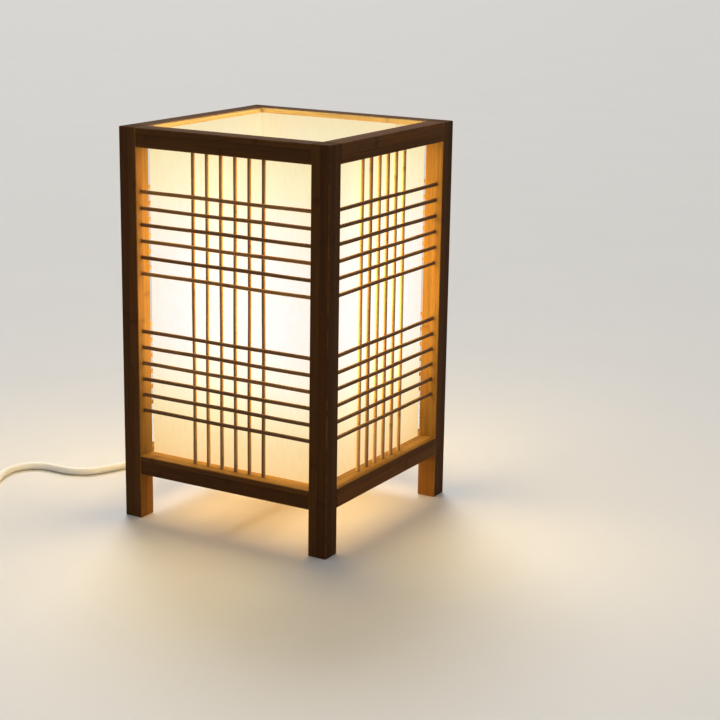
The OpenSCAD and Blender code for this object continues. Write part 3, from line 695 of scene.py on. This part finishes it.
def pick(kind, wanted):
    """Selects the faces or edges for which wanted(centre, normal or direction) holds."""
    bpy.ops.object.mode_set(mode="EDIT")
    bpy.ops.mesh.select_mode(type=kind)
    bpy.ops.object.mode_set(mode="OBJECT")
    mesh = bpy.context.object.data
    for part in (*mesh.vertices, *mesh.edges, *mesh.polygons):
        part.select = False
    if kind == "FACE":
        for face in mesh.polygons:
            face.select = wanted(face.center, face.normal)
    else:
        for edge in mesh.edges:
            a, b = (mesh.vertices[i].co for i in edge.vertices)
            edge.select = wanted((a + b) / 2, (b - a).normalized())
    bpy.ops.object.mode_set(mode="EDIT")


def add_block(size, middle=(0, 0, 0)):
    """A block of that size, in metres, made the active object."""
    deselect()
    bpy.ops.mesh.primitive_cube_add(size=1)
    block = bpy.context.object
    block.scale = size
    block.location = middle
    apply_place()
    return block


def cut_across(axis, *places):
    """Cuts the mesh that is being edited by planes across an axis, at places in metres."""
    way = [1 if i == axis else 0 for i in range(3)]
    for place in places:
        bpy.ops.mesh.select_all(action="SELECT")
        bpy.ops.mesh.bisect(plane_co=[c * place for c in way], plane_no=way)


def thicken(piece, thickness, offset):
    solid = piece.modifiers.new("thickness", "SOLIDIFY")
    solid.thickness = thickness
    solid.offset = offset
    bpy.ops.object.modifier_apply(modifier=solid.name)


def join_pieces(pieces):
    """Joins the pieces into the first of them, which is then the active object."""
    deselect()
    for piece in pieces:
        piece.select_set(True)
    bpy.context.view_layer.objects.active = pieces[0]
    bpy.ops.object.join()


def copy_of(piece):
    """A copy with its own mesh."""
    made = piece.copy()
    made.data = piece.data.copy()
    scene.collection.objects.link(made)
    return made


def move(piece, place):
    """Moves a piece's mesh by a place in mm."""
    piece.data.transform(Matrix.Translation(Vector(place) * MM))


def settle(name, material, slot, body, *replaced, smooth=30):
    """Makes the active object a finished piece on a body, in place of the replaced nodes."""
    piece = bpy.context.object
    apply_place()
    piece.name = name
    piece.data.name = name
    piece.data.materials.clear()
    piece.data.materials.append(material)
    bpy.ops.object.shade_smooth_by_angle(angle=math.radians(smooth))
    if replaced:
        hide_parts(*replaced)
    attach(piece, body)
    return piece


def turn(profile, sides=64, join_ends=False):
    """Turns a profile of (radius, height) in mm round Z: a ring is extruded and scaled from point
    to point. A radius of 0 at an end makes a pole there, and join_ends closes a profile that ends
    where it began."""
    pole_r = 0.004
    gap = 0.01 if join_ends else 2 * pole_r
    deselect()
    r, z = profile[0]
    bpy.ops.mesh.primitive_circle_add(vertices=sides, radius=max(r, pole_r) * MM,
                                      location=(0, 0, z * MM))
    edit()
    for (r0, z0), (r1, z1) in zip(profile, profile[1:]):
        grow = max(r1, pole_r) / max(r0, pole_r)
        rise = {"value": (0, 0, (z1 - z0) * MM)}
        bpy.ops.mesh.extrude_region_move(TRANSFORM_OT_translate=rise)
        bpy.ops.transform.resize(value=(grow, grow, 1), center_override=(0, 0, z1 * MM))
    bpy.ops.mesh.select_all(action="SELECT")
    bpy.ops.mesh.remove_doubles(threshold=gap * MM)
    bpy.ops.mesh.normals_make_consistent(inside=False)
    finish_edit()
    apply_place()
    return bpy.context.object


def lie_along(piece, direction, at):
    """Turns a piece made round Z to point along a direction, with its foot at a place in mm."""
    turned = Vector(direction).to_track_quat("Z", "Y").to_matrix().to_4x4()
    piece.data.transform(Matrix.Translation(Vector(at) * MM) @ turned)


# The lead with its switch, coil, strap and plug

LEAD_POINTS = [
    (-22, 0, 50.5), (-33, 0, 50.5), (-44, 0, 50.5), (-51, 0, 50), (-58, 2, 47.5), (-64.5, 6, 43),
    (-70, 10, 36.5), (-75, 14, 29), (-81, 17.5, 21), (-89, 21, 13.5), (-99, 24, 7.5), (-111, 26, 4),
    (-124, 26, 3), (-139, 22, 3), (-151, 13, 3), (-160, 0, 3), (-166, -15, 3), (-174, -29, 3),
    (-187, -37, 3), (-201, -38, 3), (-214, -39, 3), (-225, -46, 3), (-231, -59, 3), (-229, -74, 3),
    (-223, -88, 3), (-218, -103, 3), (-218, -119, 3), (-225, -133, 4), (-238, -143, 6),
    (-253, -147, 8), (-262, -147, 8), (-268, -147, 8),
]
LINK_POINTS = [
    (-314, -147, 8), (-320, -147, 8), (-329, -147, 8), (-344, -142, 5.5), (-355, -131, 4),
    (-360, -116, 4), (-360, -104, 4), (-360, -96, 4),
]
TAIL_POINTS = [
    (-360, -84, 10.5), (-360, -76, 10.5), (-360, -66, 9.2), (-360, -55, 6.9), (-360, -46, 6.9),
]

# The plug's block by place, width and height, and the grooves across its flat sides
PLUG_SECTIONS = [
    (-4, 35, 13.6), (-11, 33.4, 13.6), (-19, 27.5, 13.0), (-26, 18.5, 12.0), (-30, 14, 11.4),
]
GROOVE_PLACES = (-9.5, -13.5, -17.5)
GROOVE_HALF_LENGTH = 7
GROOVE_DEPTH = 0.55

# The pins and their sleeves by radius and place, and the strap
PIN_PROFILE = [
    (0, -7), (1.9, -7), (1.9, 10), (2, 10), (2, 17.9), (1.75, 18.6), (1.1, 18.95), (0, 19),
]
PIN_SLEEVE_PROFILE = [(1.92, 0), (2, 0), (2, 9.6), (1.96, 9.9), (1.92, 9.9), (1.92, 0)]
STRAP_W = 10
STRAP_T = 0.8


def coil_points(steps=24, turns=6):
    """Three turns inwards on the lower layer, and three outwards on the upper one."""
    points = []
    for i in range(turns * steps + 1):
        t = i / steps
        r = COIL_R - COIL_STEP * min(t, turns - t)
        u = min(1, max(0, 2 * (t - turns / 2) + 0.5))
        a = math.radians(360 * t)
        points.append((
            COIL_AT[0] - r * math.cos(a),
            COIL_AT[1] + r * math.sin(a),
            COIL_LOW_Z + COIL_RISE * u * u * (3 - 2 * u),
        ))
    return points


def smooth_line(points, steps):
    """A line through the points that bends smoothly, in metres."""
    known = [Vector(p) * MM for p in points]
    known = [known[0] * 2 - known[1]] + known + [known[-1] * 2 - known[-2]]
    line = []
    for a, b, c, d in zip(known, known[1:], known[2:], known[3:]):
        for i in range(steps):
            t = i / steps
            line.append(0.5 * ((2 * b) + (c - a) * t + (2 * a - 5 * b + 4 * c - d) * t * t
                               + (3 * b - a - 3 * c + d) * t * t * t))
    return line + [known[-2]]


def lay_cord(name, line, *replaced):
    curve = bpy.data.curves.new(name, "CURVE")
    curve.dimensions = "3D"
    curve.bevel_depth = CORD_D / 2
    curve.bevel_resolution = 4
    curve.use_fill_caps = True
    spline = curve.splines.new("POLY")
    spline.points.add(len(line) - 1)
    for point, place in zip(spline.points, line):
        point.co = (*place, 1)
    spline.use_smooth = True
    cord = bpy.data.objects.new(name, curve)
    scene.collection.objects.link(cord)
    curve.materials.append(SHEATH)
    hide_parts(*replaced)
    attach(cord, "lamp")
    return cord


def mould_plug():
    """A flat two-pin plug: a block drawn in towards the lead, with round edges and finger grips."""
    y, w, h = PLUG_SECTIONS[0]
    block = add_block((w * MM, -y * MM, h * MM), (0, y / 2 * MM, 0))
    pick("FACE", lambda centre, normal: normal.y < -0.9)
    for (y0, w0, h0), (y, w, h) in zip(PLUG_SECTIONS, PLUG_SECTIONS[1:]):
        bpy.ops.mesh.extrude_region_move(TRANSFORM_OT_translate={"value": (0, (y - y0) * MM, 0)})
        bpy.ops.transform.resize(value=(w / w0, 1, h / h0), center_override=(0, y * MM, 0))
    pick("EDGE", lambda centre, way: abs(way.y) > 0.5)
    bevel_edges(4.6 * MM, 7)
    # The edges of the front and back faces
    pick("FACE", lambda centre, normal: abs(normal.y) > 0.98 and abs(centre.y + 0.015) > 0.014)
    bevel_edges(0.9 * MM, 3)
    for place in GROOVE_PLACES:
        cut_across(1, *((place + step) * MM for step in (-0.8, -0.3, 0.3, 0.8)))
    for side in (-1, 1):
        cut_across(0, *(side * (GROOVE_HALF_LENGTH + step) * MM for step in (0.6, 0)))
    finish_edit()
    for vertex in block.data.vertices:
        x, y, z = (c / MM for c in vertex.co)
        in_a_groove = any(abs(y - place) < 0.4 for place in GROOVE_PLACES)
        if in_a_groove and abs(x) < GROOVE_HALF_LENGTH + 0.1 and abs(z) > 5:
            vertex.co.z -= math.copysign(GROOVE_DEPTH * MM, z)
    move(block, (PLUG_X, PLUG_FRONT_Y, PLUG_Z))
    return settle("plug_shell", WHITE, "mains_plastic", "lamp", "plug_body", smooth=40)


def turn_plug_neck():
    """The ribbed sleeve between the plug and the lead."""
    bore_r, thin_r, thick_r, length = 3.05, 3.8, 5.4, 20
    ribs, rib_pitch = 7, 2.4
    profile = [(bore_r, 0), (thin_r, 0)]
    for i in range(ribs):
        z, r = 0.6 + rib_pitch * i, thin_r + (thick_r - thin_r) * i / ribs
        profile += [(r, z + 0.3), (r + 0.1, z + 1.5), (r - 0.7, z + 1.7), (r - 0.6, z + 2.3)]
    profile += [(thick_r, 17.8), (thick_r, length), (bore_r, length), (bore_r, 0)]
    neck = turn(profile, 40, join_ends=True)
    lie_along(neck, (0, 1, 0), (PLUG_X, PLUG_BACK_Y - length + 2, PLUG_Z))
    return settle("plug_neck", WHITE, "mains_plastic", "lamp")


def turn_pair(profile, join_ends=False):
    """A turned piece and its copy, one for each pin of the plug, joined into one."""
    first = turn(profile, 32, join_ends)
    pair = [first, copy_of(first)]
    for piece, side in zip(pair, (1, -1)):
        lie_along(piece, (0, 1, 0), (PLUG_X + side * PIN_PITCH / 2, PLUG_FRONT_Y, PLUG_Z))
    join_pieces(pair)


def turn_pins():
    """Two round pins with rounded ends, sleeved next to the plug."""
    turn_pair(PIN_PROFILE)
    pins = settle("plug_pin_pair", NICKEL, "steel", "lamp", "plug_pins")
    turn_pair(PIN_SLEEVE_PROFILE, join_ends=True)
    return pins, settle("pin_sleeves", WHITE, "mains_plastic", "lamp")


def wrap_strap():
    """A strap wound once round the coil's right side, with its end laid over itself."""
    cord_d = CORD_D / MM
    bulge = STRAP_W * STRAP_W / (4 * COIL_R)
    width = 2 * COIL_STEP + cord_d + 2 * bulge
    height = COIL_RISE + cord_d + 0.2
    strap = add_block((width * MM, STRAP_W * MM, height * MM))
    pick("FACE", lambda centre, normal: abs(normal.y) > 0.9)
    bpy.ops.mesh.delete(type="ONLY_FACE")
    pick("EDGE", lambda centre, way: abs(way.y) > 0.9)
    bevel_edges(2.2 * MM, 5)
    finish_edit()
    thicken(strap, STRAP_T * MM, 1)
    # The free end: a tongue on top that turns up a little at its tip
    tongue = add_block((12 * MM, 9.6 * MM, STRAP_T * MM), (-1 * MM, 0, (height / 2 + 1.15) * MM))
    edit()
    cut_across(0, *(x * MM for x in (-4, -2, 0, 1.5, 3, 4.2)))
    finish_edit()
    for vertex in tongue.data.vertices:
        lift = max(0, vertex.co.x / MM - 1) / 4
        vertex.co.z += 0.9 * MM * lift * lift
        if vertex.co.x > 4.9 * MM:
            vertex.co.y *= 0.72
    join_pieces([strap, tongue])
    middle_x = COIL_AT[0] + COIL_R - 3 * COIL_STEP / 2 - bulge / 2
    move(strap, (middle_x, COIL_AT[1], COIL_LOW_Z + COIL_RISE / 2))
    return settle("coil_strap", STRAP, "strap", "lamp", "coil_tie")


def mark_rocker():
    """The switch's on and off marks, a bar and a ring that stand just proud of the rocker."""
    pivot = Matrix.Translation(Vector(SWITCH_PIVOT) * MM)
    tipped = pivot @ Matrix.Rotation(math.radians(ROCKER_TIP), 4, "Y")
    bar = add_block((0.7 * MM, 4 * MM, 0.4 * MM))
    edit()
    bevel_edges(0.12 * MM, 2)
    finish_edit()
    bpy.ops.mesh.primitive_torus_add(major_segments=32, minor_segments=8, major_radius=1.6 * MM,
                                     minor_radius=0.3 * MM)
    ring = bpy.context.object
    slope = math.atan2(1.3, 9.2)
    for mark, place, turned in ((bar, (-5.4, 0, 4.3), slope), (ring, (5.4, 0, 4.2), -slope)):
        on_rocker = Matrix.Translation(Vector(place) * MM) @ Matrix.Rotation(turned, 4, "Y")
        mark.data.transform(tipped @ on_rocker)
    join_pieces([bar, ring])
    return settle("rocker_marks", GREY_MARK, "mains_plastic", "rocker")


def make_lead():
    lead = lay_cord("lead_to_switch", smooth_line(LEAD_POINTS, 4), "cord_lead")
    stowed = smooth_line(LINK_POINTS, 3)[:-1] + smooth_line(coil_points(), 2)
    stowed += smooth_line(TAIL_POINTS, 3)[1:]
    stowed_lead = lay_cord("lead_stowed", stowed, "cord_link", "cord_coil", "cord_tail")
    marks = mark_rocker()
    plug_pieces = [mould_plug(), turn_plug_neck(), *turn_pins(), wrap_strap()]


# The lattice

def draw_stick(name, length):
    """A round stick along Z, from its foot."""
    rings = 14
    deselect()
    bpy.ops.mesh.primitive_circle_add(vertices=16, radius=STICK_R, fill_type="NGON")
    edit()
    for _ in range(rings):
        bpy.ops.mesh.extrude_region_move(TRANSFORM_OT_translate={"value": (0, 0, length / rings)})
    bpy.ops.mesh.select_all(action="SELECT")
    bpy.ops.mesh.normals_make_consistent(inside=False)
    finish_edit()
    stick = bpy.context.object
    stick.name = name
    return stick


def copy_stick(stick, length, number, place):
    """A copy of its own: a little thinner here and there, and not quite straight."""
    made = copy_of(stick)
    phase = 2.4 * number
    for vertex in made.data.vertices:
        t = vertex.co.z / length
        free = math.sin(math.pi * t)
        thin = 1 - 0.03 * free * (1 + math.sin(9 * t + phase))
        sideways = 0.22 * MM * free * math.sin(2.6 * math.pi * t + phase)
        outwards = 0.08 * MM * free * math.cos(1.7 * math.pi * t + 3 * phase)
        vertex.co.x = vertex.co.x * thin + sideways
        vertex.co.y = vertex.co.y * thin + outwards
    made.data.transform(place)
    return made


def set_lattice():
    """Each face has six level sticks at the top, six at the bottom and six uprights behind them."""
    level_length = 2 * (INNER + STICK_END)
    upright_length = TOP_RAIL_Z - BOTTOM_RAIL_TOP + 2 * STICK_END
    level_stick = draw_stick("level stick", level_length)
    upright_stick = draw_stick("upright stick", upright_length)
    lie_level = Matrix.Rotation(math.pi / 2, 4, "Y")
    order = range(STICKS)
    from_x, from_z = -level_length / 2, BOTTOM_RAIL_TOP - STICK_END
    groups = {
        "upper": [(from_x, LEVEL_Y, UPPER_FIRST_Z - i * PITCH) for i in order],
        "lower": [(from_x, LEVEL_Y, LOWER_FIRST_Z + i * PITCH) for i in order],
        "upright": [((i - (STICKS - 1) / 2) * PITCH, UPRIGHT_Y, from_z) for i in order],
    }
    number = 0
    for face, side in enumerate(("front", "right", "back", "left")):
        turned = Matrix.Rotation(math.radians(90 * face), 4, "Z")
        for group, places in groups.items():
            if group == "upright":
                axis, stick, length, stand = "Z", upright_stick, upright_length, Matrix()
            else:
                axis, stick, length, stand = "XY"[face % 2], level_stick, level_length, lie_level
            made = []
            for place in places:
                number += 1
                set_in = turned @ Matrix.Translation(Vector(place)) @ stand
                made.append(copy_stick(stick, length, number, set_in))
            join_pieces(made)
            settle(side + "_" + group + "_lattice", STICK[axis], "bamboo_sticks", "lamp",
                   side + "_" + group + "_sticks", smooth=50)
    for stick in (level_stick, upright_stick):
        bpy.data.objects.remove(stick, do_unlink=True)


# The shade

def bulge_sheet(sheet, reach):
    """Between the rails and away from the corners the sheet stands a little proud of its flat
    faces, which lie at that reach from the middle."""
    bulge, free_height, free_width = 0.35 * MM, 20 * MM, 70 * MM
    for vertex in sheet.data.vertices:
        x, y, z = vertex.co
        from_rails = min(z - BOTTOM_RAIL_TOP, TOP_RAIL_Z - z)
        free_z = min(1, max(0, from_rails / free_height))
        for axis, other in ((0, y), (1, x)):
            free = max(0, 1 - (abs(other) / free_width) ** 2) * free_z
            if abs(abs(vertex.co[axis]) - reach) < 0.01 * MM:
                wave = 0.6 + 0.4 * math.sin(38 * z + 60 * other + 2 * axis)
                vertex.co[axis] += math.copysign(bulge * free * wave, vertex.co[axis])


def bend_shade():
    """One sheet bent round four corners, its ends lapped on the back and glued."""
    middle_w = 2 * INNER - SHEET_T
    height = SHEET_HEAD - SHEET_FOOT
    middle_z = SHEET_FOOT + height / 2
    shade = add_block((middle_w, middle_w, height), (0, 0, middle_z))
    pick("FACE", lambda centre, normal: abs(normal.z) > 0.9)
    bpy.ops.mesh.delete(type="ONLY_FACE")
    pick("EDGE", lambda centre, way: abs(way.z) > 0.9)
    bevel_edges(SHEET_CORNER_R - SHEET_T / 2, 8)
    rows, column_w = 24, 12.5 * MM
    cut_across(2, *(SHEET_FOOT + height * i / rows for i in range(1, rows)))
    for i in range(-5, 6):
        cut_across(0, i * column_w)
        cut_across(1, i * column_w)
    finish_edit()
    bulge_sheet(shade, middle_w / 2)
    thicken(shade, SHEET_T, 0)
    lap = add_block((LAP_W, 0.9 * SHEET_T, height), (LAP_X, INNER - 1.5 * SHEET_T, middle_z))
    pick("EDGE", lambda centre, way: abs(way.z) > 0.9)
    bevel_edges(0.15 * MM, 2)
    finish_edit()
    join_pieces([shade, lap])
    piece = settle("shade_sheet", PAPER, "shade_sheet", "lamp", "paper_shade")


# The bulb and the thread that it screws into

def cut_thread(piece, crest_r, depth, foot, head):
    """Presses a round screw thread into a turned wall between two heights."""
    for vertex in piece.data.vertices:
        x, y, z = vertex.co
        r = math.hypot(x, y)
        if foot < z < head and r > crest_r - 0.8 * MM:
            run = min(1, (z - foot) / THREAD_PITCH, (head - z) / THREAD_PITCH)
            phase = 2 * math.pi * z / THREAD_PITCH - math.atan2(y, x)
            sink = depth * run * (0.5 + 0.5 * math.cos(phase))
            vertex.co.x *= (r - sink) / r
            vertex.co.y *= (r - sink) / r


def wall(r, foot, head, rings):
    return [(r, foot + (head - foot) * i / rings) for i in range(rings + 1)]


def make_cap():
    foot, head = CAP_FOOT_Z / MM, (CAP_FOOT_Z + CAP_H) / MM
    profile = [(0, foot), (10.4, foot), (11.5, foot + 0.4), (12.9, foot + 1.9)]
    profile += wall(CAP_R / MM, foot + 2.4, head, 60)
    cap = turn(profile)
    cut_thread(cap, CAP_R, 0.95 * MM, CAP_FOOT_Z + 2.2 * MM, CAP_FOOT_Z + 18 * MM)
    thicken(cap, 0.4 * MM, -1)
    settle("bulb_cap_threaded", ALUMINIUM, "cap_metal", "bulb", "bulb_cap", smooth=50)


def make_sleeve():
    foot, head = SLEEVE_Z / MM, (SLEEVE_Z + SLEEVE_H) / MM
    profile = [(9.7, foot + 0.42), (13.0, foot + 0.42), (13.55, foot + 0.9)]
    profile += wall(13.62, foot + 1.4, head - 0.8, 55) + [(13.75, head - 0.3), (13.9, head - 0.05)]
    sleeve = turn(profile)
    cut_thread(sleeve, SLEEVE_R, 0.75 * MM, SLEEVE_Z + 3 * MM, SLEEVE_Z + 21 * MM)
    thicken(sleeve, 0.4 * MM, 1)
    settle("thread_sleeve", BRASS, "brass", "lamp", "holder_sleeve", smooth=50)


def make_housing():
    """The bulb's flared and hollow housing, on a neck that stands in the cap."""
    neck_r, wall_t, steps = 12.65, 2.4, 22
    cap, collar = CAP_R / MM, COLLAR_R / MM
    top = (CAP_FOOT_Z + CAP_H) / MM + 0.6
    neck_foot, rise = top - 7.6, COLLAR_Z / MM - top
    outside = []
    for i in range(steps + 1):
        u = i / steps
        outside.append((cap + (collar - cap) * math.sin(math.pi / 2 * u) * u, top + rise * u))
    inside = [(r - wall_t, z) for r, z in reversed(outside[:-1])]
    inside[-1] = (inside[-1][0], neck_foot)
    rim = (collar - 2.3, COLLAR_Z / MM)
    profile = [(neck_r, neck_foot), (neck_r, top), *outside, rim, *inside, (neck_r, neck_foot)]
    turn(profile, 72, join_ends=True)
    settle("bulb_body", HOUSING, "bulb_plastic", "bulb", "bulb_housing", smooth=40)


def make_dome():
    """A thin ball, cut where it meets the housing."""
    deselect()
    bpy.ops.mesh.primitive_uv_sphere_add(segments=64, ring_count=40, radius=BALL_R,
                                         location=(0, 0, BALL_Z))
    apply_place()
    edit()
    bpy.ops.mesh.bisect(plane_co=(0, 0, COLLAR_Z + 0.05 * MM), plane_no=(0, 0, 1),
                        clear_inner=True)
    finish_edit()
    thicken(bpy.context.object, 1.2 * MM, -1)
    settle("bulb_globe", DOME, "bulb_diffuser", "bulb", "bulb_dome", smooth=50)


# Floor, and the finish of the nodes that show as they are

def lay_floor():
    deselect()
    bpy.ops.mesh.primitive_circle_add(vertices=96, radius=30, fill_type="NGON")
    floor = bpy.context.object
    floor.name = "floor"
    material, tree, shader = new_material("pale floor", (0.66, 0.645, 0.62), 0.7)
    cloud = noise(tree, object_place(tree), 6, 3)
    pale = mix_colours(tree, cloud, (0.645, 0.63, 0.605), (0.675, 0.66, 0.635))
    join(tree, pale, shader.inputs["Base Color"])
    floor.data.materials.append(material)


def dress(material, *names):
    for name in names:
        data = nodes[name].data
        data.materials.clear()
        data.materials.append(material)


def dress_nodes():
    for name in nodes:
        if name.startswith("post_"):
            dress(POST, name)
        elif "_rail_" in name:
            dress(RAIL_ALONG_X if name.endswith(("front", "back")) else RAIL_ALONG_Y, name)
        elif name.endswith("upright_sticks"):
            dress(STICK["Z"], name)
        elif name.endswith("_sticks"):
            dress(STICK["X" if name.startswith(("front", "back")) else "Y"], name)
    dress(CROSSBAR_WOOD, "crossbar")
    dress(DOWEL_WOOD, "frame_dowels")
    dress(PAPER, "paper_shade")
    dress(CREAM, "holder_base", "holder_shell")
    dress(CERAMIC, "holder_insert")
    dress(BRASS, "holder_contact", "holder_sleeve", "switch_contacts")
    dress(STEEL, "crossbar_screws", "holder_screws", "switch_screws", "bulb_tip")
    dress(NICKEL, "plug_pins")
    dress(ALUMINIUM, "bulb_cap")
    dress(BLACK_GLASS, "bulb_insulator")
    dress(HOUSING, "bulb_housing")
    dress(BOARD, "led_board")
    dress(DOME, "bulb_dome")
    dress(WHITE, "cord_relief", "switch_base", "switch_cover", "switch_rocker", "plug_body")
    dress(STRAP, "coil_tie")
    dress(SHEATH, "cord_lead", "cord_link", "cord_coil", "cord_tail")


place_camera()
make_lead()
light_the_room()
lay_floor()
dress_nodes()
set_lattice()
bend_shade()
make_cap()
make_sleeve()
make_housing()
make_dome()
